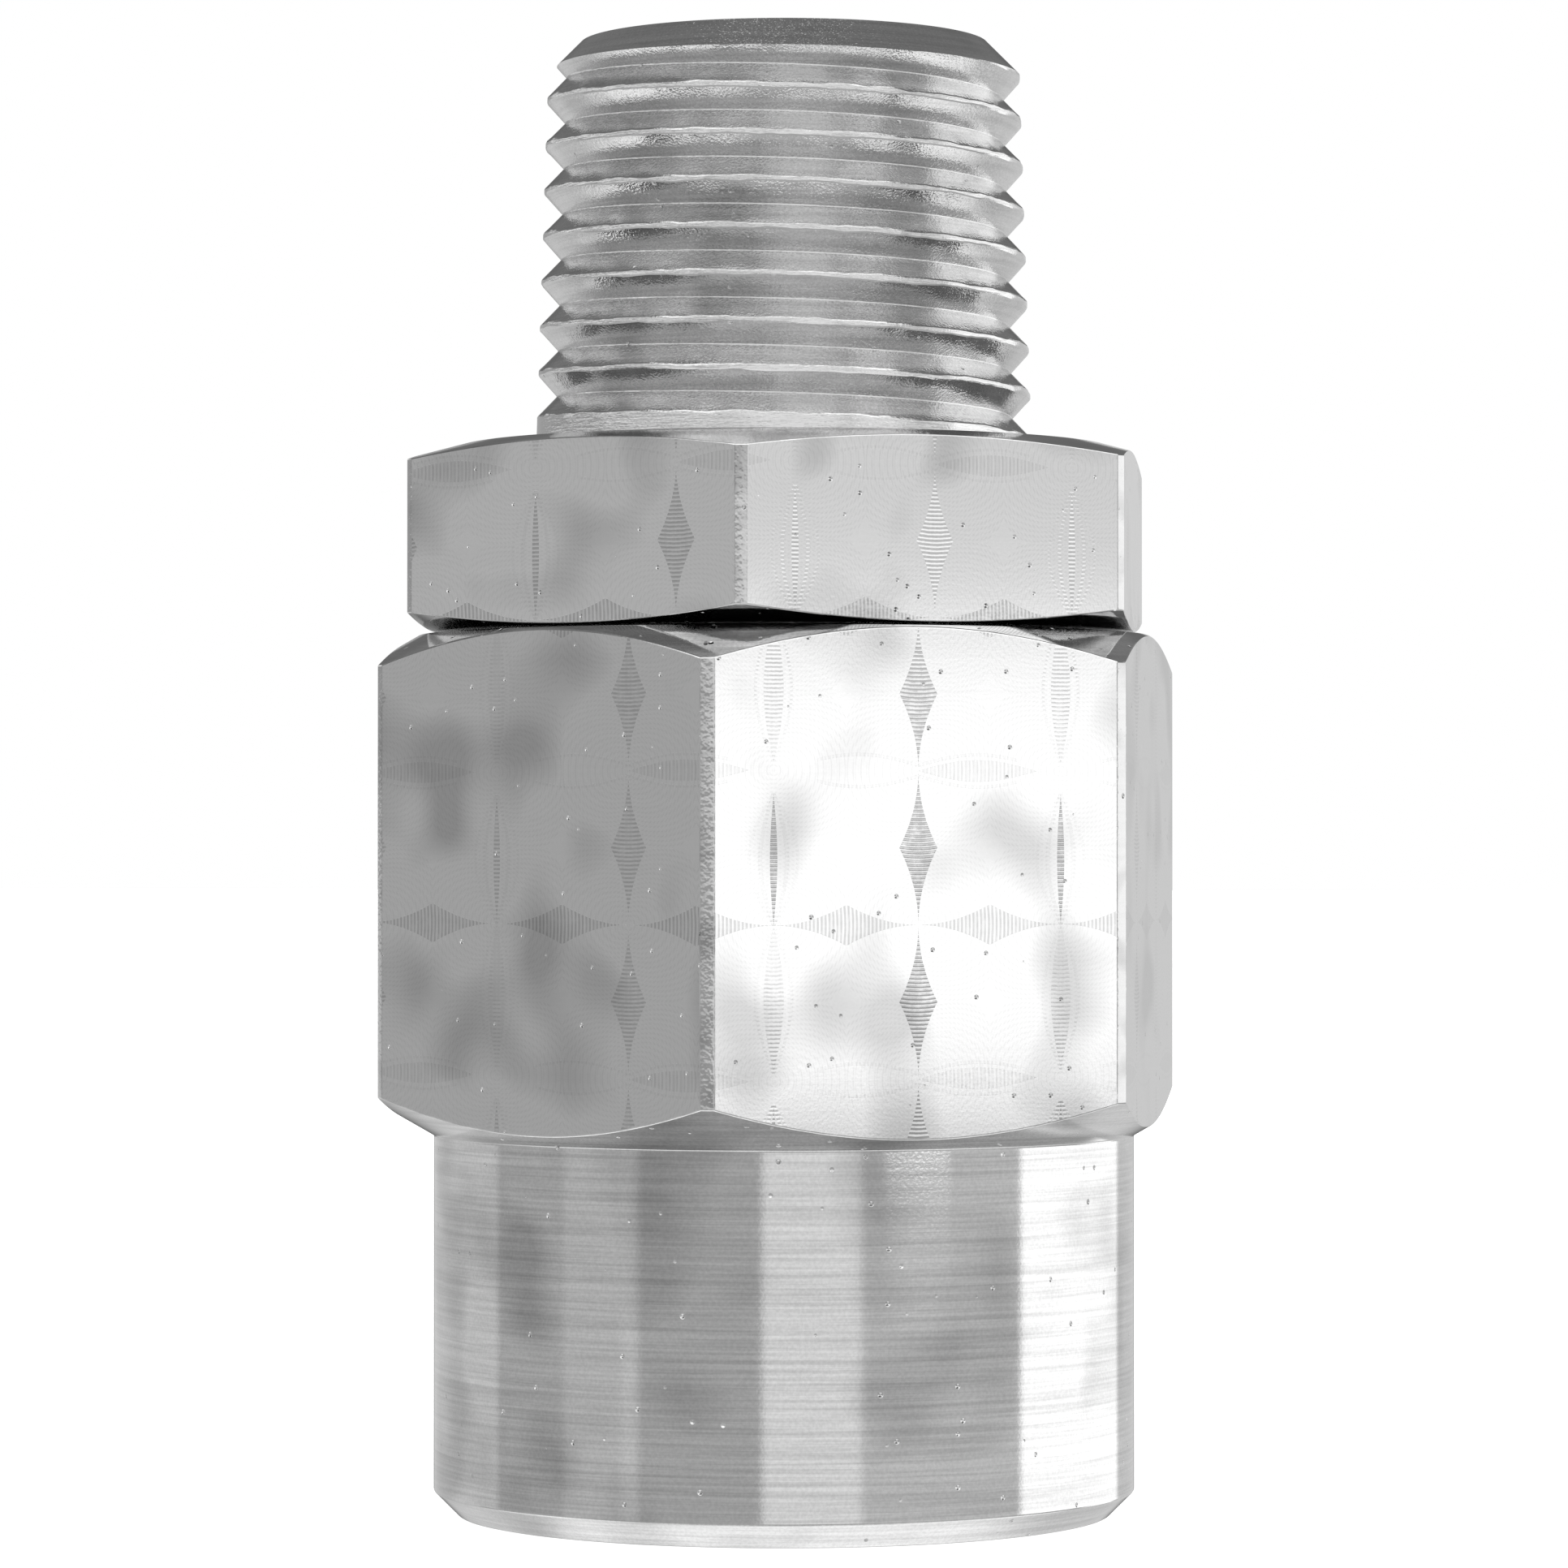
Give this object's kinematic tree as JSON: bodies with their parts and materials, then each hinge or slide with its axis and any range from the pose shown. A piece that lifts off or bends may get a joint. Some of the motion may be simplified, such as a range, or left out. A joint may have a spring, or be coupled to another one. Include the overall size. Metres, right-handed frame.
{
  "type": "hose adapter",
  "caption": "In-line swivel hose adapter: hexagon body with a female pipe port, in which a hexagon stem with a male taper pipe thread turns on ball races.",
  "frame": {"origin": "centre of the port face, at the foot of the skirt, on the turning axis", "axes": "+Z along the turning axis, from the female port to the male thread; a corner of the body's hexagon points to -Y"},
  "size_m": [0.0318, 0.0364, 0.0633],
  "materials": {
    "turned_steel": "bright turned and milled",
    "plug_steel": "bright, screw plug",
    "ball_steel": "polished bearing ball",
    "nitrile_rubber": "black, greased",
    "wiper_rubber": "black, matt",
    "ptfe": "waxy white"
  },
  "bodies": {
    "housing": {"swivel_body": "turned_steel", "dust_wiper": "wiper_rubber", "lower_loading_plug": "plug_steel", "upper_loading_plug": "plug_steel"},
    "stem": {"male_stem": "turned_steel", "o_ring": "nitrile_rubber", "lower_backup_ring": "ptfe", "upper_backup_ring": "ptfe"},
    "lower_ball_row": {"lower_ball_01": "ball_steel", "lower_ball_02": "ball_steel", "lower_ball_03": "ball_steel", "lower_ball_04": "ball_steel", "lower_ball_05": "ball_steel", "lower_ball_06": "ball_steel", "lower_ball_07": "ball_steel", "lower_ball_08": "ball_steel", "lower_ball_09": "ball_steel", "lower_ball_10": "ball_steel", "lower_ball_11": "ball_steel", "lower_ball_12": "ball_steel", "lower_ball_13": "ball_steel", "lower_ball_14": "ball_steel"},
    "upper_ball_row": {"upper_ball_01": "ball_steel", "upper_ball_02": "ball_steel", "upper_ball_03": "ball_steel", "upper_ball_04": "ball_steel", "upper_ball_05": "ball_steel", "upper_ball_06": "ball_steel", "upper_ball_07": "ball_steel", "upper_ball_08": "ball_steel", "upper_ball_09": "ball_steel", "upper_ball_10": "ball_steel", "upper_ball_11": "ball_steel", "upper_ball_12": "ball_steel", "upper_ball_13": "ball_steel", "upper_ball_14": "ball_steel"}
  },
  "joints": [
    {"name": "stem_spin", "type": "hinge", "parent": "housing", "child": "stem", "pos_m": [0, 0, 0.0301], "axis": [0, 0, 1], "continuous": true},
    {"name": "lower_row_roll", "type": "hinge", "parent": "housing", "child": "lower_ball_row", "pos_m": [0, 0, 0.02734], "axis": [0, 0, 1], "continuous": true},
    {"name": "upper_row_roll", "type": "hinge", "parent": "housing", "child": "upper_ball_row", "pos_m": [0, 0, 0.03295], "axis": [0, 0, 1], "continuous": true}
  ],
  "couplings": [
    {"joint": "lower_row_roll", "follows": "stem_spin", "ratio": 0.396},
    {"joint": "upper_row_roll", "follows": "stem_spin", "ratio": 0.396}
  ]
}
